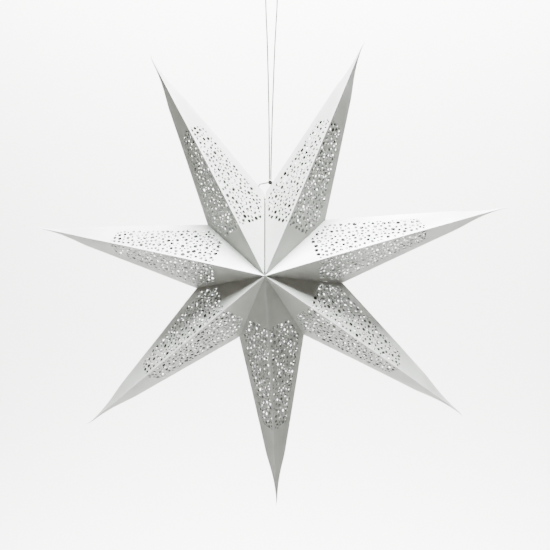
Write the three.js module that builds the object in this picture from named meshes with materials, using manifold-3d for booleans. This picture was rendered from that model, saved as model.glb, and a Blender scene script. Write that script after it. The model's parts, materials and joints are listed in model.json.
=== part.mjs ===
// Folding paper star with seven pierced points, hung on a tied loop of string.
// Millimetres, +Z up. The front faces -Y. The origin is the top of the hanging loop.
import * as THREE from 'three';
import { mergeVertices } from 'three/addons/utils/BufferGeometryUtils.js';
import Module from 'manifold-3d';

const wasm = await Module();
wasm.setup();

// Star
const POINTS = 7;
const TIP_RADIUS = 300;
const VALLEY_RADIUS = 95;
const HALF_DEPTH = 75;
const TOP_SEAM_ANGLE = THREE.MathUtils.degToRad(92.6);
const CENTRE = new THREE.Vector3(-3.8, 0, -355);

// Paper
const WALL = 0.6;
const SEAM_THICKNESS = 0.8;
const SEAM_WIDTH = 12;
const SEAM_START_RADIUS = 26;
const GAP = 0.3;
const CARD_THICKNESS = (SEAM_THICKNESS - GAP) / 2;

// String
const CORD_RADIUS = 0.8;
const CORD_SIDES = 8;
const LOOP_HALF_WIDTH = 7;
const BIGHT_DEPTH = 6;
const STRAND_HALF_GAP = 1.3;
const KNOT_RADIUS = 2.3;
const KNOT_FROM_VALLEY = new THREE.Vector3(6.3, 0, 14);
const TIE_HOLE_RADIUS = 1.8;
const TIE_HOLE_OFFSET = 8;
const CARD_HOLE_DEPTH = 7;
const HOLE_TRAVEL = 6;

const HALF_WEDGE = Math.PI / POINTS;
const CUT_SETBACK = SEAM_THICKNESS / 2 + GAP;

const radial = (angle) => new THREE.Vector3(Math.cos(angle), 0, Math.sin(angle));
const valley = CENTRE.clone().addScaledVector(radial(TOP_SEAM_ANGLE), VALLEY_RADIUS);
const knotCentre = valley.clone().add(KNOT_FROM_VALLEY);

// Angle of a line out from the star's centre, counted in half wedges clockwise from the top seam
const spoke = (halfWedges) => TOP_SEAM_ANGLE - halfWedges * HALF_WEDGE;

function paper(colour) {
  return new THREE.MeshStandardMaterial({ color: colour, roughness: 0.75, metalness: 0 });
}

function string(colour) {
  return new THREE.MeshStandardMaterial({ color: colour, roughness: 0.9, metalness: 0 });
}

// Pieces of the star are drawn with X out from its centre, Y through it and Z across them
function placeOnSpoke(mesh, angle) {
  mesh.position.copy(CENTRE);
  mesh.rotation.y = -angle;
  mesh.updateMatrixWorld();
  return mesh;
}

function toManifold(geometry) {
  const bare = geometry.clone();
  bare.deleteAttribute('normal');
  bare.deleteAttribute('uv');
  const merged = mergeVertices(bare, 1e-4);
  const mesh = new wasm.Mesh({
    numProp: 3,
    vertProperties: new Float32Array(merged.attributes.position.array),
    triVerts: new Uint32Array(merged.index.array),
  });
  return new wasm.Manifold(mesh);
}

function toGeometry(solid) {
  const { vertProperties, triVerts } = solid.getMesh();
  const geometry = new THREE.BufferGeometry();
  geometry.setAttribute('position', new THREE.BufferAttribute(new Float32Array(vertProperties), 3));
  geometry.setIndex(new THREE.BufferAttribute(new Uint32Array(triVerts), 1));
  const flat = geometry.toNonIndexed();
  flat.computeVertexNormals();
  return flat;
}

// A round hole through a placed mesh, along the line from one point to another
function drill(mesh, from, to, radius) {
  const length = from.distanceTo(to);
  const drillBit = new THREE.CylinderGeometry(radius, radius, length, 16);
  const along = to.clone().sub(from).normalize();
  const turn = new THREE.Quaternion().setFromUnitVectors(new THREE.Vector3(0, 1, 0), along);
  drillBit.applyQuaternion(turn);
  const middle = from.clone().add(to).multiplyScalar(0.5);
  drillBit.translate(middle.x, middle.y, middle.z);
  drillBit.applyMatrix4(mesh.matrixWorld.clone().invert());
  mesh.geometry = toGeometry(toManifold(mesh.geometry).subtract(toManifold(drillBit)));
}

// One point: a sheet folded into a four-sided hollow cone, open towards the star's centre.
// Its outer corners are the tip, the front and back hubs, and the valley on each side.
function pointGeometry() {
  const tip = new THREE.Vector3(TIP_RADIUS, 0, 0);
  const side = Math.sin(HALF_WEDGE) * VALLEY_RADIUS;
  const reach = Math.cos(HALF_WEDGE) * VALLEY_RADIUS;
  const rim = [
    new THREE.Vector3(0, -HALF_DEPTH, 0),
    new THREE.Vector3(reach, 0, side),
    new THREE.Vector3(0, HALF_DEPTH, 0),
    new THREE.Vector3(reach, 0, -side),
  ];
  const tipToCut = TIP_RADIUS * Math.sin(HALF_WEDGE);
  const normal = new THREE.Plane().setFromCoplanarPoints(rim[0], rim[1], tip).normal;
  const innerTip = tip.clone();
  innerTip.x -= WALL / Math.abs(normal.x);

  const edgeFrom = (apex, corner) => {
    const apexToCut = apex.x * Math.sin(HALF_WEDGE) - CUT_SETBACK;
    return corner.clone().sub(tip).multiplyScalar(apexToCut / tipToCut).add(apex);
  };
  const outer = rim.map((corner) => edgeFrom(tip, corner));
  const inner = rim.map((corner) => edgeFrom(innerTip, corner));

  const faces = [];
  rim.forEach((corner, i) => {
    const next = (i + 1) % rim.length;
    faces.push([tip, outer[next], outer[i]]);
    faces.push([innerTip, inner[i], inner[next]]);
    faces.push([outer[i], outer[next], inner[next]]);
    faces.push([outer[i], inner[next], inner[i]]);
  });
  const geometry = new THREE.BufferGeometry().setFromPoints(faces.flat());
  geometry.computeVertexNormals();
  return geometry;
}

// The strip that joins two neighbouring points: a chevron from hub to valley to hub
function stripGeometry(thickness) {
  const slope = HALF_DEPTH / VALLEY_RADIUS;
  const widthAcross = SEAM_WIDTH * Math.hypot(1, slope);
  const outerAt = (radius) => HALF_DEPTH - radius * slope;
  const innerAt = (radius) => outerAt(radius) - widthAcross;
  const start = SEAM_START_RADIUS;
  const outline = new THREE.Shape([
    new THREE.Vector2(start, -outerAt(start)),
    new THREE.Vector2(VALLEY_RADIUS, 0),
    new THREE.Vector2(start, outerAt(start)),
    new THREE.Vector2(start, innerAt(start)),
    new THREE.Vector2(VALLEY_RADIUS - widthAcross / slope, 0),
    new THREE.Vector2(start, -innerAt(start)),
  ]);
  const geometry = new THREE.ExtrudeGeometry(outline, { depth: thickness, bevelEnabled: false });
  geometry.translate(0, 0, -thickness / 2);
  return geometry;
}

function tube(points, steps) {
  const section = new THREE.Shape();
  section.absarc(0, 0, CORD_RADIUS, 0, Math.PI * 2);
  return new THREE.ExtrudeGeometry(section, {
    steps,
    curveSegments: CORD_SIDES,
    bevelEnabled: false,
    extrudePath: new THREE.CatmullRomCurve3(points, false, 'centripetal'),
  });
}

const star = new THREE.Group();
star.name = 'paper_star';

function add(name, geometry, material) {
  const mesh = new THREE.Mesh(geometry, material);
  mesh.name = name;
  star.add(mesh);
  return mesh;
}

// Seven points, clockwise from the right of the top seam
const points = [];
for (let i = 1; i <= POINTS; i += 1) {
  const point = add(`point_${i}`, pointGeometry(), paper(0xf2f2ee));
  points.push(placeOnSpoke(point, spoke(2 * i - 1)));
}

// Six glued seams, between each point and the next
for (let i = 1; i < POINTS; i += 1) {
  const seam = add(`glued_seam_${i}`, stripGeometry(SEAM_THICKNESS), paper(0xe9e9e4));
  placeOnSpoke(seam, spoke(2 * i));
}

// Two end cards side by side in the top seam, which only the string holds together
const cards = [['end_card_right', -1], ['end_card_left', 1]].map(([name, side]) => {
  const geometry = stripGeometry(CARD_THICKNESS);
  geometry.translate(0, 0, side * (GAP + CARD_THICKNESS) / 2);
  return placeOnSpoke(add(name, geometry, paper(0xe9e9e4)), TOP_SEAM_ANGLE);
});

// Holes for the tie: one in the shoulder of each end point and one in each end card
[[points[0], 1], [points[POINTS - 1], -1]].forEach(([point, side]) => {
  const tip = CENTRE.clone().addScaledVector(radial(spoke(side)), TIP_RADIUS);
  const share = (side * TIE_HOLE_OFFSET) / (tip.x - valley.x);
  const crease = valley.clone().lerp(tip, share);
  const above = crease.clone().add(new THREE.Vector3(0, 0, HOLE_TRAVEL));
  const below = crease.clone().add(new THREE.Vector3(0, 0, -HOLE_TRAVEL));
  drill(point, above, below, TIE_HOLE_RADIUS);
});
cards.forEach((card) => {
  const middle = CENTRE.clone().addScaledVector(radial(TOP_SEAM_ANGLE), VALLEY_RADIUS - CARD_HOLE_DEPTH);
  const left = middle.clone().add(new THREE.Vector3(-HOLE_TRAVEL, 0, 0));
  const right = middle.clone().add(new THREE.Vector3(HOLE_TRAVEL, 0, 0));
  drill(card, left, right, TIE_HOLE_RADIUS);
});

// The knot, on the line about which the star turns
const knot = add('cord_knot', new THREE.SphereGeometry(KNOT_RADIUS, 16, 10), string(0x8f8c84));
knot.position.copy(knotCentre);

// The tie: from the knot through both shoulders and both cards, and back to the knot
const fromKnot = (x, z) => knotCentre.clone().add(new THREE.Vector3(x, 0, z));
const fromValley = (x, z) => valley.clone().add(new THREE.Vector3(x, 0, z));
add('tie_cord', tube([
  fromKnot(-3.5, -0.5),
  fromValley(-2, 12.4),
  fromValley(-6.3, 11.5),
  fromValley(-8, 9.4),
  fromValley(-8, 5),
  fromValley(-6.6, -3.4),
  fromValley(-3.6, -6.7),
  fromValley(0, -CARD_HOLE_DEPTH),
  fromValley(3.6, -6.4),
  fromValley(6.8, -2.5),
  fromValley(8, 4),
  fromValley(8, 8.5),
  fromKnot(1.65, -2.75),
], 40), string(0x9a978f));

// The hanging loop: two strands that spread upwards from the knot and close in a bight
const strandFoot = knotCentre.z + KNOT_RADIUS + GAP + CORD_RADIUS;
const strandHead = -LOOP_HALF_WIDTH - BIGHT_DEPTH;
const strand = (side, share) => new THREE.Vector3(
  THREE.MathUtils.lerp(knotCentre.x + side * STRAND_HALF_GAP, side * LOOP_HALF_WIDTH, share),
  0,
  THREE.MathUtils.lerp(strandFoot, strandHead, share),
);
add('hanging_cord', tube([
  strand(-1, 0),
  strand(-1, 0.35),
  strand(-1, 0.7),
  strand(-1, 1),
  new THREE.Vector3(-5.6, 0, -4.4),
  new THREE.Vector3(0, 0, -CORD_RADIUS),
  new THREE.Vector3(5.6, 0, -4.4),
  strand(1, 1),
  strand(1, 0.7),
  strand(1, 0.35),
  strand(1, 0),
], 78), string(0xb9b8b2));

export default star;
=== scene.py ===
"""Looks of a folding paper star with seven pierced points, hung on a loop of string."""
import json
import math
import random

import bmesh
import bpy
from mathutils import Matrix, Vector, noise
from mathutils.geometry import delaunay_2d_cdt


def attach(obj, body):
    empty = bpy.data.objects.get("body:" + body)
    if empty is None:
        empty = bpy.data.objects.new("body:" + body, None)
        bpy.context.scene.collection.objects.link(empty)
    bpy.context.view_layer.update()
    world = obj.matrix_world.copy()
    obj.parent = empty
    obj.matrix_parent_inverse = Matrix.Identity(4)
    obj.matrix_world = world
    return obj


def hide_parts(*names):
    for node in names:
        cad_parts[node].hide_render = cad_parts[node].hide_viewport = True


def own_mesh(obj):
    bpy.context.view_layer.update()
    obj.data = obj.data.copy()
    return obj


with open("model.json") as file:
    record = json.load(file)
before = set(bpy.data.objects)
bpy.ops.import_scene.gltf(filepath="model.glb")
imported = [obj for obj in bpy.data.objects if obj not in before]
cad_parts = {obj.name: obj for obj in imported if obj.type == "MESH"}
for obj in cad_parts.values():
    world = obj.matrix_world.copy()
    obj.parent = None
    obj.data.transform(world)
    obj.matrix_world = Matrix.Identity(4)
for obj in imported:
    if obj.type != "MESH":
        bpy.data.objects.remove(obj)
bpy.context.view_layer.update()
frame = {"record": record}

MM = 0.001

# The star, as the CAD model has it. Its axis runs front to back through its centre.
POINTS = 7
TIP_RADIUS = 0.300
VALLEY_RADIUS = 0.095
HALF_DEPTH = 0.075
HALF_WEDGE = math.pi / POINTS
TOP_SEAM_ANGLE = math.radians(92.6)
JOINTS = {joint["name"]: joint for joint in frame["record"]["behaviour"]["joints"]}
CENTRE = Vector(JOINTS["fan_fold"]["pos_m"])
KNOT = Vector(JOINTS["twist_on_string"]["pos_m"])

# Paper
PAPER = 0.35 * MM
SEAM_SETBACK = 0.12 * MM
TOP_SEAM_SETBACK = 1.0 * MM
FLANGE_WIDTH = 12 * MM

# String
STRING_DIAMETER = 1.6 * MM
LOOP_HALF_WIDTH = 7 * MM
KNOT_RADIUS = 2.3 * MM

# Camera, in the photograph's place: distance and direction from the star's centre
CAMERA_FROM_CENTRE = Vector((0.0905, -1.4879, 0.1678))
CAMERA_AIM_FROM_CENTRE = Vector((0.0081, -0.0005, -0.0077))
CAMERA_LENS = 77.81


def radial(angle):
    return Vector((math.cos(angle), 0, math.sin(angle)))


def tangent(angle):
    return Vector((-math.sin(angle), 0, math.cos(angle)))


def spoke(half_wedges):
    """The angle of a line out from the centre, in half wedges clockwise from the top seam."""
    return TOP_SEAM_ANGLE - half_wedges * HALF_WEDGE


VALLEY = CENTRE + radial(TOP_SEAM_ANGLE) * VALLEY_RADIUS


# ---------------------------------------------------------------- materials

def new_material(name, roughness):
    material = bpy.data.materials.new(name)
    material.use_nodes = True
    nodes = material.node_tree.nodes
    shader = nodes["Principled BSDF"]
    shader.inputs["Roughness"].default_value = roughness
    return material, nodes, material.node_tree.links, shader


def noise_node(nodes, links, coordinates, scale, detail, roughness=0.5):
    node = nodes.new("ShaderNodeTexNoise")
    node.inputs["Scale"].default_value = scale
    node.inputs["Detail"].default_value = detail
    node.inputs["Roughness"].default_value = roughness
    links.new(coordinates, node.inputs["Vector"])
    return node.outputs["Fac"]


def ramp_node(nodes, links, factor, stops):
    node = nodes.new("ShaderNodeValToRGB")
    ramp = node.color_ramp
    ramp.elements[0].position, ramp.elements[0].color = stops[0][0], (*stops[0][1], 1)
    ramp.elements[1].position, ramp.elements[1].color = stops[1][0], (*stops[1][1], 1)
    for position, colour in stops[2:]:
        ramp.elements.new(position).color = (*colour, 1)
    links.new(factor, node.inputs["Fac"])
    return node.outputs["Color"]


def range_node(nodes, links, value, low, high):
    node = nodes.new("ShaderNodeMapRange")
    node.inputs["To Min"].default_value = low
    node.inputs["To Max"].default_value = high
    links.new(value, node.inputs["Value"])
    return node.outputs["Result"]


def bump_node(nodes, links, height, distance, strength, normal=None):
    node = nodes.new("ShaderNodeBump")
    node.inputs["Distance"].default_value = distance
    node.inputs["Strength"].default_value = strength
    links.new(height, node.inputs["Height"])
    if normal is not None:
        links.new(normal, node.inputs["Normal"])
    return node.outputs["Normal"]


def pearl_paper():
    """White art paper with a faint silver pearl, felt-like fibres, and folds painted paler: partly crease
    wear, partly a painted highlight along the ridges and creases.
    """
    material, nodes, links, shader = new_material("pearl_paper", 0.46)
    position = nodes.new("ShaderNodeTexCoord").outputs["Object"]
    cloudy = noise_node(nodes, links, position, scale=26, detail=4)
    fibres = noise_node(nodes, links, position, scale=1500, detail=3, roughness=0.7)
    tooth = noise_node(nodes, links, position, scale=420, detail=4, roughness=0.6)
    body = ramp_node(nodes, links, cloudy, [(0.3, (0.33, 0.33, 0.305)), (0.72, (0.39, 0.39, 0.365))])
    # Paler paper along the folds: partly crease wear, partly a painted highlight on the ridges and
    # creases
    worn_and_lit_fold = nodes.new("ShaderNodeAttribute")
    worn_and_lit_fold.attribute_name = "fold_wear_and_highlight"
    mix = nodes.new("ShaderNodeMix")
    mix.data_type = "RGBA"
    mix.inputs["B"].default_value = (0.40, 0.40, 0.38, 1)
    links.new(worn_and_lit_fold.outputs["Fac"], mix.inputs["Factor"])
    links.new(body, mix.inputs["A"])
    links.new(mix.outputs["Result"], shader.inputs["Base Color"])
    links.new(range_node(nodes, links, tooth, low=0.38, high=0.56), shader.inputs["Roughness"])
    shader.inputs["Metallic"].default_value = 0.15
    shader.inputs["Specular IOR Level"].default_value = 0.5
    coarse = bump_node(nodes, links, tooth, distance=0.12 * MM, strength=0.35)
    fine = bump_node(nodes, links, fibres, distance=0.05 * MM, strength=0.4, normal=coarse)
    links.new(fine, shader.inputs["Normal"])
    return material


def uncoated(name, dark, light):
    """Matt uncoated paper or card."""
    material, nodes, links, shader = new_material(name, 0.7)
    position = nodes.new("ShaderNodeTexCoord").outputs["Object"]
    cloudy = noise_node(nodes, links, position, scale=60, detail=4)
    fibres = noise_node(nodes, links, position, scale=1100, detail=4, roughness=0.7)
    body = ramp_node(nodes, links, cloudy, [(0.3, dark), (0.7, light)])
    links.new(body, shader.inputs["Base Color"])
    links.new(range_node(nodes, links, fibres, low=0.62, high=0.8), shader.inputs["Roughness"])
    bumps = bump_node(nodes, links, fibres, distance=0.08 * MM, strength=0.4)
    links.new(bumps, shader.inputs["Normal"])
    return material


def twisted_string(name, dark, light):
    """Matt spun yarn: fine fibres along it, darker in places where it is handled."""
    material, nodes, links, shader = new_material(name, 0.85)
    position = nodes.new("ShaderNodeTexCoord").outputs["Object"]
    stain = noise_node(nodes, links, position, scale=90, detail=3)
    fuzz = noise_node(nodes, links, position, scale=3500, detail=3, roughness=0.7)
    links.new(ramp_node(nodes, links, stain, [(0.3, dark), (0.7, light)]), shader.inputs["Base Color"])
    links.new(range_node(nodes, links, fuzz, low=0.75, high=0.95), shader.inputs["Roughness"])
    bumps = bump_node(nodes, links, fuzz, distance=0.1 * MM, strength=0.6)
    links.new(bumps, shader.inputs["Normal"])
    shader.inputs["Specular IOR Level"].default_value = 0.15
    return material


def studio_white(name, colour):
    material, nodes, links, shader = new_material(name, 0.9)
    position = nodes.new("ShaderNodeTexCoord").outputs["Object"]
    cloud = noise_node(nodes, links, position, scale=0.8, detail=2)
    dimmer = tuple(c * 0.985 for c in colour)
    links.new(ramp_node(nodes, links, cloud, [(0.3, dimmer), (0.7, colour)]), shader.inputs["Base Color"])
    shader.inputs["Specular IOR Level"].default_value = 0.0
    return material


PEARL = pearl_paper()
CARD = uncoated("plain_card", (0.34, 0.335, 0.32), (0.40, 0.395, 0.38))
# The sheets' inner side: matt uncoated back, its grey darkened as painted shade of the star's hollow
# inside
INSIDE_PAINTED_SHADE = uncoated("sheet_inside_painted_shade", (0.19, 0.19, 0.172), (0.24, 0.24, 0.22))
STRING = twisted_string("grey_string", (0.014, 0.0135, 0.012), (0.026, 0.0255, 0.023))
KNOT_STRING = twisted_string("knot_string", (0.010, 0.0095, 0.008), (0.020, 0.0195, 0.017))


# ---------------------------------------------------------------- pierced points

# One facet lies flat with its front ridge along X, from the hub at 0 to the tip
RIDGE = math.hypot(TIP_RADIUS, HALF_DEPTH)
VALLEY_REACH = VALLEY_RADIUS * math.cos(HALF_WEDGE)
VALLEY_SIDE = VALLEY_RADIUS * math.sin(HALF_WEDGE)
HUB_CORNER = Vector((0, -HALF_DEPTH, 0))
TIP_CORNER = Vector((TIP_RADIUS, 0, 0))
VALLEY_CORNER = Vector((VALLEY_REACH, 0, VALLEY_SIDE))
ALONG = (TIP_CORNER - HUB_CORNER).normalized()
ACROSS = (VALLEY_CORNER - HUB_CORNER) - ALONG * (VALLEY_CORNER - HUB_CORNER).dot(ALONG)
FLAT_VALLEY = Vector(((VALLEY_CORNER - HUB_CORNER).dot(ALONG), ACROSS.length))
ACROSS.normalize()
FLAT_TIP = Vector((RIDGE, 0))

# The pierced band: its ends square to the ridge, and plain margins along the folds
BAND_START = 69 * MM
BAND_END = 209 * MM
RIDGE_MARGIN = 1.6 * MM
CREASE_MARGIN = 8.5 * MM
VALLEY_MARGIN = 4.5 * MM
HOLE_GAP = 0.85 * MM
# Hole sizes: radius from and to, tries at placing one, and how far they crowd to the band's inner end
FRONT_HOLES = [
    (2.5, 3.0, 130, 1.8),
    (1.9, 2.3, 1300, 1.15),
    (1.35, 1.65, 3600, 1.0),
    (0.8, 1.0, 1400, 1.0),
]
# The back lets little light through to the front: its holes are smaller
BACK_HOLES = [
    (1.7, 2.1, 160, 1.1),
    (1.1, 1.4, 450, 1.0),
    (0.75, 0.95, 300, 1.0),
]


HOLE_CORNERS = (6, 8)
CORNER_REACH = (0.88, 1.08)
# Points along the ridge, the crease and the cut edge, and in a loose grid between them
EDGE_STEPS = [60, 48, 16]
GRID_SPACING = 7 * MM
GRID_TO_EDGE = 2.5 * MM
GRID_TO_HOLE = 1.5 * MM
MERGE_TOLERANCE = 1e-9


def distance_to_line(p, a, b):
    """How far the flat point p is from the line through a and b."""
    line = (b - a).normalized()
    return abs((p - a).x * line.y - (p - a).y * line.x)


def pierced_band(seed, sizes):
    """Holes scattered over the band, largest first: (centre, radius, corners, turn)."""
    rng = random.Random(seed)
    hub = Vector((0, 0))
    holes = []
    for low, high, tries, crowding in sizes:
        for _ in range(tries):
            radius = rng.uniform(low, high) * MM
            share = rng.random() ** crowding
            x = BAND_START + radius + share * (BAND_END - BAND_START - 2 * radius)
            y = RIDGE_MARGIN + radius + rng.random() * FLAT_VALLEY.y
            corners, turn = rng.randint(*HOLE_CORNERS), rng.random() * math.tau
            p = Vector((x, y))
            inside = x * FLAT_VALLEY.y > y * FLAT_VALLEY.x
            inside = inside and (FLAT_TIP.x - x) * FLAT_VALLEY.y > y * (FLAT_TIP.x - FLAT_VALLEY.x)
            if not inside:
                continue
            if distance_to_line(p, FLAT_VALLEY, FLAT_TIP) < CREASE_MARGIN + radius:
                continue
            if distance_to_line(p, hub, FLAT_VALLEY) < VALLEY_MARGIN + radius:
                continue
            if all((p - q).length > radius + r + HOLE_GAP for q, r, _, _ in holes):
                holes.append((p, radius, corners, turn))
    return holes


def hole_outline(hole, rng):
    centre, radius, corners, turn = hole
    outline = []
    for i in range(corners):
        angle = turn + math.tau * i / corners
        reach = radius * rng.uniform(*CORNER_REACH)
        outline.append(centre + Vector((math.cos(angle), math.sin(angle))) * reach)
    return outline


def flat_facet(holes, setback, seed):
    """Triangles of one facet with its holes left out, in the flat frame."""
    rng = random.Random(seed)
    shrink = 1 - setback / (TIP_RADIUS * math.sin(HALF_WEDGE))
    hub = FLAT_TIP + (Vector((0, 0)) - FLAT_TIP) * shrink
    valley = FLAT_TIP + (FLAT_VALLEY - FLAT_TIP) * shrink
    corners = [hub, FLAT_TIP, valley]
    points = []
    for a, b, n in zip(corners, corners[1:] + corners[:1], EDGE_STEPS):
        points += [a.lerp(b, i / n) for i in range(n)]
    loops = [list(range(len(points)))]
    for hole in holes:
        outline = hole_outline(hole, rng)
        loops.append(list(range(len(points), len(points) + len(outline))))
        points += outline
    points += filler_points(hub, valley, holes)
    found = delaunay_2d_cdt(points, [], loops, 1, MERGE_TOLERANCE)
    flat, faces, origins = found[0], found[2], found[5]
    kept = [face for face, origin in zip(faces, origins) if max(origin) == 0]
    return flat, kept


def filler_points(hub, valley, holes):
    """A loose grid inside the facet, clear of its edges and holes, so that the sheet can bend."""
    found = []
    for i in range(1, int(RIDGE / GRID_SPACING)):
        for j in range(1, int(valley.y / GRID_SPACING) + 1):
            p = Vector((i * GRID_SPACING, (j - 0.5 * (i % 2)) * GRID_SPACING))
            past_valley = (p.x - hub.x) * valley.y > p.y * (valley.x - hub.x)
            past_crease = (RIDGE - p.x) * valley.y > p.y * (RIDGE - valley.x)
            if not (past_valley and past_crease) or p.y < GRID_TO_EDGE:
                continue
            edges = min(distance_to_line(p, valley, FLAT_TIP), distance_to_line(p, hub, valley))
            clear = all((p - q).length > r + GRID_TO_HOLE for q, r, _, _ in holes)
            if edges > GRID_TO_EDGE and clear:
                found.append(p)
    return found


BANDS = [pierced_band(seed, FRONT_HOLES) for seed in (11, 23)]
BANDS += [pierced_band(seed, BACK_HOLES) for seed in (37, 41)]

# How far each handmade tip strays from a regular star, in millimetres right and up
TIP_STRAY = {
    1: (-2.6, 0.5), 2: (3.5, -2.2), 3: (0.5, -6.7), 4: (-3.4, -2.4),
    5: (-4.9, -3.3), 6: (5.6, -3.7), 7: (-3.2, -3.9),
}
# Which side of an end point faces the open top seam
OPEN_SIDE = {1: 1, POINTS: -1}
# Each tip narrows to a thin curling wisp, a little longer than a straight-sided tip
WISP_START = 0.78
WISP_FULL = 0.965
WISP_EXTRA = 7 * MM
WISP_THINNING = 0.6
WISP_CURL = 2.4 * MM
STRAY_POWER = 2.2
# Waviness of the sheets: its height, how often it turns along and across, and the fade to the folds
BUCKLE_HEIGHT = 1.1 * MM
BUCKLE_ALONG = 16
BUCKLE_ACROSS = 30
BUCKLE_FADE = 9 * MM
# How far the paler fold colour reaches from the ridge and crease: partly wear, partly painted highlight
FOLD_WEAR_AND_HIGHLIGHT_WIDTH = 0.6 * MM
WELD_DISTANCE = 0.002 * MM


def smooth(value):
    value = min(max(value, 0), 1)
    return value * value * (3 - 2 * value)


def place_on_point(number, local):
    """From a point's own frame (out, front to back, across) to the star's, with its small bends."""
    out, depth, across = local
    share = max(out / TIP_RADIUS, 0)
    if share > WISP_START:
        thin = 1 - WISP_THINNING * smooth((share - WISP_START) / (WISP_FULL - WISP_START))
        end = max((share - WISP_FULL) / (1 - WISP_FULL), 0)
        out += WISP_EXTRA * smooth((share - WISP_START) / (1 - WISP_START))
        depth, across = depth * thin, across * thin - WISP_CURL * end**2
    angle = spoke(2 * number - 1)
    world = CENTRE + radial(angle) * out + tangent(angle) * across + Vector((0, depth, 0))
    stray = TIP_STRAY[number]
    world += Vector((stray[0], 0, stray[1])) * MM * share**STRAY_POWER
    return world


def buckle(number, quarter, flat, edge):
    """The slight waviness of a hand-folded sheet, none at its folds: how far a flat point lifts."""
    along = flat.x * BUCKLE_ALONG + number * 7.3
    across = flat.y * BUCKLE_ACROSS + quarter * 3.1
    wave = noise.noise(Vector((along, across, number * 1.7)))
    return wave * BUCKLE_HEIGHT * smooth(edge / BUCKLE_FADE)


def point_mesh(number):
    """All four facets of one folded sheet, as a surface without thickness."""
    mesh = bmesh.new()
    worn_and_lit_fold = mesh.verts.layers.float.new("fold_wear_and_highlight")
    quarters = [(1, 1), (1, -1), (-1, 1), (-1, -1)]
    for quarter, (front, side) in enumerate(quarters):
        open_here = OPEN_SIDE.get(number) == side
        setback = TOP_SEAM_SETBACK if open_here else SEAM_SETBACK
        flat, faces = flat_facet(BANDS[quarter], setback, 100 + quarter)
        normal = ALONG.cross(ACROSS).normalized()
        normal *= -1 if normal.y > 0 else 1
        made = []
        for p in flat:
            folds = [abs(p.y), distance_to_line(p, FLAT_VALLEY, FLAT_TIP)]
            cut = distance_to_line(p, Vector((0, 0)), FLAT_VALLEY)
            lift = buckle(number, quarter, p, min(*folds, cut))
            local = HUB_CORNER + ALONG * p.x + ACROSS * p.y + normal * lift
            local = Vector((local.x, local.y * front, local.z * side))
            vertex = mesh.verts.new(place_on_point(number, local))
            # Paler near the ridge and crease: crease wear together with a painted highlight
            vertex[worn_and_lit_fold] = max(0, 1 - min(folds) / FOLD_WEAR_AND_HIGHLIGHT_WIDTH)
            made.append(vertex)
        for face in faces:
            corners = [made[i] for i in face]
            if front * side < 0:
                corners.reverse()
            mesh.faces.new(corners)
    loose = [v for v in mesh.verts if not v.link_faces]
    bmesh.ops.delete(mesh, geom=loose, context="VERTS")
    bmesh.ops.remove_doubles(mesh, verts=mesh.verts, dist=WELD_DISTANCE)
    inside = CENTRE + radial(spoke(2 * number - 1)) * TIP_RADIUS * 0.4
    facing = sum((f.calc_center_median() - inside).dot(f.normal) * f.calc_area() for f in mesh.faces)
    if facing < 0:
        bmesh.ops.reverse_faces(mesh, faces=mesh.faces)
    return mesh


def object_from(name, mesh):
    data = bpy.data.meshes.new(name)
    mesh.normal_update()
    mesh.to_mesh(data)
    mesh.free()
    piece = bpy.data.objects.new(name, data)
    bpy.context.scene.collection.objects.link(piece)
    return piece


def apply_modifiers(piece):
    """Keep the piece's modified shape as its mesh."""
    evaluated = piece.evaluated_get(bpy.context.evaluated_depsgraph_get())
    data = bpy.data.meshes.new_from_object(evaluated)
    piece.modifiers.clear()
    piece.data = data


def shade(piece, sharp_degrees=25):
    for face in piece.data.polygons:
        face.use_smooth = True
    piece.data.set_sharp_from_angle(angle=math.radians(sharp_degrees))


def thicken(piece, thickness, offset, outside, inside=None):
    """Give a surface its thickness, and the materials of its two sides."""
    piece.data.materials.append(outside)
    solidify = piece.modifiers.new("thickness", "SOLIDIFY")
    solidify.thickness = thickness
    solidify.offset = offset
    if inside:
        piece.data.materials.append(inside)
        solidify.material_offset = 1
    apply_modifiers(piece)


def finish_paper(piece, body, node):
    """Shading, the body it rides, the CAD part it stands in for hidden, and a mesh of its own."""
    shade(piece)
    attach(piece, body)
    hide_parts(node)
    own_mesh(piece)


for number in range(1, POINTS + 1):
    sheet = object_from(f"pierced_point_{number}", point_mesh(number))
    thicken(sheet, PAPER, -1, PEARL, INSIDE_PAINTED_SHADE)
    angle = spoke(2 * number - 1)
    finish_paper(sheet, f"point_{number}", f"point_{number}")


# ---------------------------------------------------------------- flanges and end cards

# Half a strip's steps along it, rows across it, and where it starts out from the star's axis
STRIP_STEPS = 40
STRIP_ROWS = 4
STRIP_START = 4 * MM
# The two flanges of a seam lie against each other, one a little wider than the other
FLANGE_THICKNESS = 0.24 * MM
FLANGE_OFFSET = 0.14 * MM
FLANGE_UNEVENNESS = 0.06
FLAP_THICKNESS = 0.3 * MM
FLAP_OFFSET = 0.33 * MM
FLAP_RECESS = 6 * MM


def chevron_mesh(angle, offset, width, recess=0.0):
    """A strip along the cut edge from hub to valley to hub, in the plane of a seam."""
    slope = HALF_DEPTH / VALLEY_RADIUS
    drop = width * math.hypot(1, slope)
    mesh = bmesh.new()
    rows = []
    for i in range(-STRIP_STEPS, STRIP_STEPS + 1):
        share = 1 - abs(i) / STRIP_STEPS
        sign = 1 if i > 0 else -1
        out = STRIP_START + (VALLEY_RADIUS - STRIP_START) * share
        depth = HALF_DEPTH - out * slope
        row = []
        for j in range(STRIP_ROWS):
            inward = drop * j / (STRIP_ROWS - 1)
            if i == 0:
                local_out, local_depth = out - (inward + recess) / slope, 0
            else:
                reach = min(inward + recess, depth * 0.98)
                local_out, local_depth = out - (inward + recess - reach) / slope, (depth - reach) * sign
            world = CENTRE + radial(angle) * local_out + tangent(angle) * offset
            world.y = CENTRE.y + local_depth
            row.append(mesh.verts.new(world))
        rows.append(row)
    for a, b in zip(rows, rows[1:]):
        for j in range(STRIP_ROWS - 1):
            mesh.faces.new((a[j], a[j + 1], b[j + 1], b[j]))
    return mesh


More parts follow.
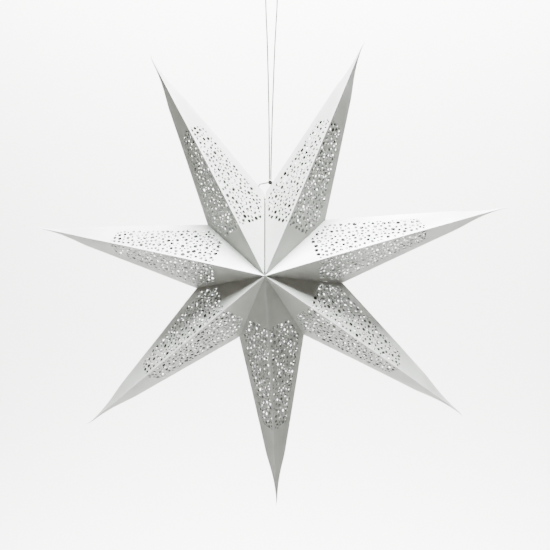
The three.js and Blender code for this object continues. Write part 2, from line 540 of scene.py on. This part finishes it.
for number in range(1, POINTS):
    angle = spoke(2 * number)
    layers = bmesh.new()
    for side in (-1, 1):
        width = FLANGE_WIDTH * (1 - FLANGE_UNEVENNESS * side)
        layer = chevron_mesh(angle, side * FLANGE_OFFSET, width)
        scratch = bpy.data.meshes.new("layer")
        layer.to_mesh(scratch)
        layer.free()
        layers.from_mesh(scratch)
        bpy.data.meshes.remove(scratch)
    flange = object_from(f"glued_flanges_{number}", layers)
    thicken(flange, FLANGE_THICKNESS, 0, CARD)
    finish_paper(flange, f"seam_{number}", f"glued_seam_{number}")

for name, side, body in (("right", 1, "right_end"), ("left", -1, "left_end")):
    strip = chevron_mesh(TOP_SEAM_ANGLE, -side * FLAP_OFFSET, FLANGE_WIDTH, FLAP_RECESS)
    card = object_from(f"end_flap_{name}", strip)
    thicken(card, FLAP_THICKNESS, 0, CARD)
    finish_paper(card, body, f"end_card_{name}")


# ---------------------------------------------------------------- string

CURVE_STEPS = 24
LOOP_POINTS = 620
TIE_POINTS = 150
PLY_SIDES = 7
PLY_RADIUS = 0.34
TIE_DIAMETER = 0.95 * STRING_DIAMETER
# Half the distance between the strands where they lie side by side, and the height they start at
STRAND_HALF_GAP = 0.56 * STRING_DIAMETER
STRAND_OVER_KNOT = KNOT_RADIUS + 1.1 * MM
STRAND_SPREAD = 1.5
BIGHT_DEPTH = 6 * MM
KNOT_STEPS = 96
KNOT_SIZE = 1.9 * MM
KNOT_STRAND = 0.95 * MM
KNOT_STRAND_SIDES = 10
KNOT_FLATNESS = 0.42


def centripetal_route(points, count):
    """Evenly spaced points on a centripetal Catmull-Rom curve through the given ones."""
    extended = [points[0] * 2 - points[1], *points, points[-1] * 2 - points[-2]]
    dense = []
    for i in range(1, len(extended) - 2):
        p = extended[i - 1:i + 3]
        t = [0]
        for a, b in zip(p, p[1:]):
            t.append(t[-1] + math.sqrt((b - a).length))
        for k in range(CURVE_STEPS):
            x = t[1] + (t[2] - t[1]) * k / CURVE_STEPS
            a = [p[n] + (p[n + 1] - p[n]) * ((x - t[n]) / (t[n + 1] - t[n])) for n in range(3)]
            b = [a[n] + (a[n + 1] - a[n]) * ((x - t[n]) / (t[n + 2] - t[n])) for n in range(2)]
            dense.append(b[0] + (b[1] - b[0]) * ((x - t[1]) / (t[2] - t[1])))
    dense.append(points[-1].copy())
    lengths = [0]
    for a, b in zip(dense, dense[1:]):
        lengths.append(lengths[-1] + (b - a).length)
    route, i = [], 0
    for k in range(count):
        target = lengths[-1] * k / (count - 1)
        while i < len(lengths) - 2 and lengths[i + 1] < target:
            i += 1
        share = (target - lengths[i]) / (lengths[i + 1] - lengths[i])
        route.append(dense[i].lerp(dense[i + 1], share))
    return route, lengths[-1]


def sweep(mesh, route, radius, sides):
    """A closed tube along the route, its section kept from turning."""
    across = Vector((0, 1, 0))
    rings = []
    for i, p in enumerate(route):
        along = (route[min(i + 1, len(route) - 1)] - route[max(i - 1, 0)]).normalized()
        across = (across - along * across.dot(along)).normalized()
        other = along.cross(across)
        ring = []
        for k in range(sides):
            turn = math.tau * k / sides
            ring.append(mesh.verts.new(p + (across * math.cos(turn) + other * math.sin(turn)) * radius))
        rings.append(ring)
    for a, b in zip(rings, rings[1:]):
        for k in range(sides):
            mesh.faces.new((a[k], a[(k + 1) % sides], b[(k + 1) % sides], b[k]))
    mesh.faces.new(list(reversed(rings[0])))
    mesh.faces.new(rings[-1])


def twisted_yarn(name, route, diameter, material, plies=3, pitch=5.5 * MM):
    """Plies laid round each other along the route."""
    mesh = bmesh.new()
    ply_radius = diameter * PLY_RADIUS
    lay_radius = diameter * 0.5 - ply_radius
    for ply in range(plies):
        turned, travelled, across = [], 0, Vector((0, 1, 0))
        for i, p in enumerate(route):
            along = (route[min(i + 1, len(route) - 1)] - route[max(i - 1, 0)]).normalized()
            across = (across - along * across.dot(along)).normalized()
            other = along.cross(across)
            if i:
                travelled += (p - route[i - 1]).length
            turn = math.tau * (travelled / pitch + ply / plies)
            turned.append(p + (across * math.cos(turn) + other * math.sin(turn)) * lay_radius)
        sweep(mesh, turned, ply_radius, PLY_SIDES)
    bmesh.ops.recalc_face_normals(mesh, faces=mesh.faces)
    yarn = object_from(name, mesh)
    shade(yarn, 60)
    yarn.data.materials.append(material)
    return yarn


def strand(side, share):
    """A point on one strand: the two lie side by side over the knot and part towards the top."""
    low = Vector((KNOT.x, 0, KNOT.z + STRAND_OVER_KNOT))
    high = Vector((0, 0, -LOOP_HALF_WIDTH - BIGHT_DEPTH))
    apart = STRAND_HALF_GAP + (LOOP_HALF_WIDTH - STRAND_HALF_GAP) * share**STRAND_SPREAD
    return low.lerp(high, share) + Vector((side * apart, 0, 0))


strand_shares = (0, 0.08, 0.35, 0.7, 1)
bight = [Vector((x, 0, z)) * MM for x, z in ((-5.6, -4.4), (0, -0.8), (5.6, -4.4))]
loop_points = [strand(-1, share) for share in strand_shares] + bight
loop_points += [strand(1, share) for share in reversed(strand_shares)]
loop_route, loop_length = centripetal_route(loop_points, LOOP_POINTS)
loop = twisted_yarn("hanging_loop", loop_route, STRING_DIAMETER, STRING)
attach(loop, "hanging_cord")
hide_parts("hanging_cord")


def knot_mesh():
    """An overhand knot pulled tight: the string wound round itself as a small trefoil."""
    mesh = bmesh.new()
    route = []
    for i in range(KNOT_STEPS + 1):
        t = math.tau * i / KNOT_STEPS
        swing = (2 + math.cos(3 * t)) / 3
        flat = Vector((math.cos(2 * t) * swing, math.sin(3 * t) * KNOT_FLATNESS, math.sin(2 * t) * swing))
        route.append(KNOT + flat * KNOT_SIZE)
    sweep(mesh, route, KNOT_STRAND, KNOT_STRAND_SIDES)
    bmesh.ops.recalc_face_normals(mesh, faces=mesh.faces)
    return mesh


knot = object_from("string_knot", knot_mesh())
shade(knot, 60)
knot.data.materials.append(KNOT_STRING)
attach(knot, "left_end")
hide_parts("cord_knot")


def from_valley(x, z):
    return VALLEY + Vector((x, 0, z)) * MM


def from_knot(x, z):
    return KNOT + Vector((x, 0, z)) * MM


tie_points = [
    from_knot(-1.4, -0.3), from_knot(-3.5, -0.5), from_valley(-2, 12.4), from_valley(-6.3, 11.5),
    from_valley(-8, 9.4), from_valley(-8, 5), from_valley(-6.6, -3.4), from_valley(-3.6, -6.7),
    from_valley(0, -7), from_valley(3.6, -6.4), from_valley(6.8, -2.5), from_valley(8, 4),
    from_valley(8, 8.5), from_knot(1.65, -2.75), from_knot(1.3, -1.2),
]
tie_route, _ = centripetal_route(tie_points, TIE_POINTS)
tie = twisted_yarn("tie_string", tie_route, TIE_DIAMETER, KNOT_STRING)
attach(tie, "left_end")
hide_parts("tie_cord")
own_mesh(tie)


# ---------------------------------------------------------------- studio

def area_light(name, location, target, size, power, colour=(1, 1, 1), spread_degrees=180):
    data = bpy.data.lights.new(name, "AREA")
    data.shape = "RECTANGLE"
    data.size, data.size_y = size
    data.energy = power
    data.color = colour
    data.spread = math.radians(spread_degrees)
    light = bpy.data.objects.new(name, data)
    light.location = location
    light.rotation_euler = (target - location).to_track_quat("-Z", "Y").to_euler()
    bpy.context.scene.collection.objects.link(light)


BEND_STEPS = 16
WALL_HEIGHT = 4.5


def studio_sweep(floor_z, wall_y, radius, half_width, front_y):
    """Pale floor that curves up into the wall behind."""
    mesh = bmesh.new()
    profile = [(front_y, floor_z)]
    for i in range(BEND_STEPS + 1):
        turn = math.pi / 2 * i / BEND_STEPS
        y = wall_y - radius + radius * math.sin(turn)
        profile.append((y, floor_z + radius - radius * math.cos(turn)))
    profile.append((wall_y, floor_z + WALL_HEIGHT))
    rows = [[mesh.verts.new((x, y, z)) for x in (-half_width, half_width)] for y, z in profile]
    for a, b in zip(rows, rows[1:]):
        mesh.faces.new((a[0], a[1], b[1], b[0]))
    sweep_object = object_from("studio_floor", mesh)
    for face in sweep_object.data.polygons:
        face.use_smooth = True
    sweep_object.data.materials.append(studio_white("studio_white", (0.86, 0.865, 0.85)))


studio_sweep(floor_z=-2.5, wall_y=2.6, radius=0.5, half_width=5, front_y=-6)

area_light("overhead", CENTRE + Vector((0.05, -0.22, 1.3)), CENTRE, (0.7, 0.5), 90, (0.93, 1, 1), 90)
area_light("wall_wash_above", Vector((0, 1.5, 1.3)), Vector((0, 2.6, -0.4)), (3, 0.3), 540)
area_light("wall_wash_below", Vector((0, 1.6, -2.3)), Vector((0, 2.6, -1.2)), (3, 0.3), 190)

world = bpy.data.worlds.new("studio")
world.use_nodes = True
world.node_tree.nodes["Background"].inputs["Color"].default_value = (1, 0.965, 0.89, 1)
world.node_tree.nodes["Background"].inputs["Strength"].default_value = 0.28
bpy.context.scene.world = world

camera_data = bpy.data.cameras.new("camera")
camera_data.lens = CAMERA_LENS
camera_data.sensor_width = 36
camera_data.clip_end = 50
camera = bpy.data.objects.new("camera", camera_data)
camera.location = CENTRE + CAMERA_FROM_CENTRE
aim = CENTRE + CAMERA_AIM_FROM_CENTRE
camera.rotation_euler = (aim - camera.location).to_track_quat("-Z", "Y").to_euler()
bpy.context.scene.collection.objects.link(camera)
bpy.context.scene.camera = camera
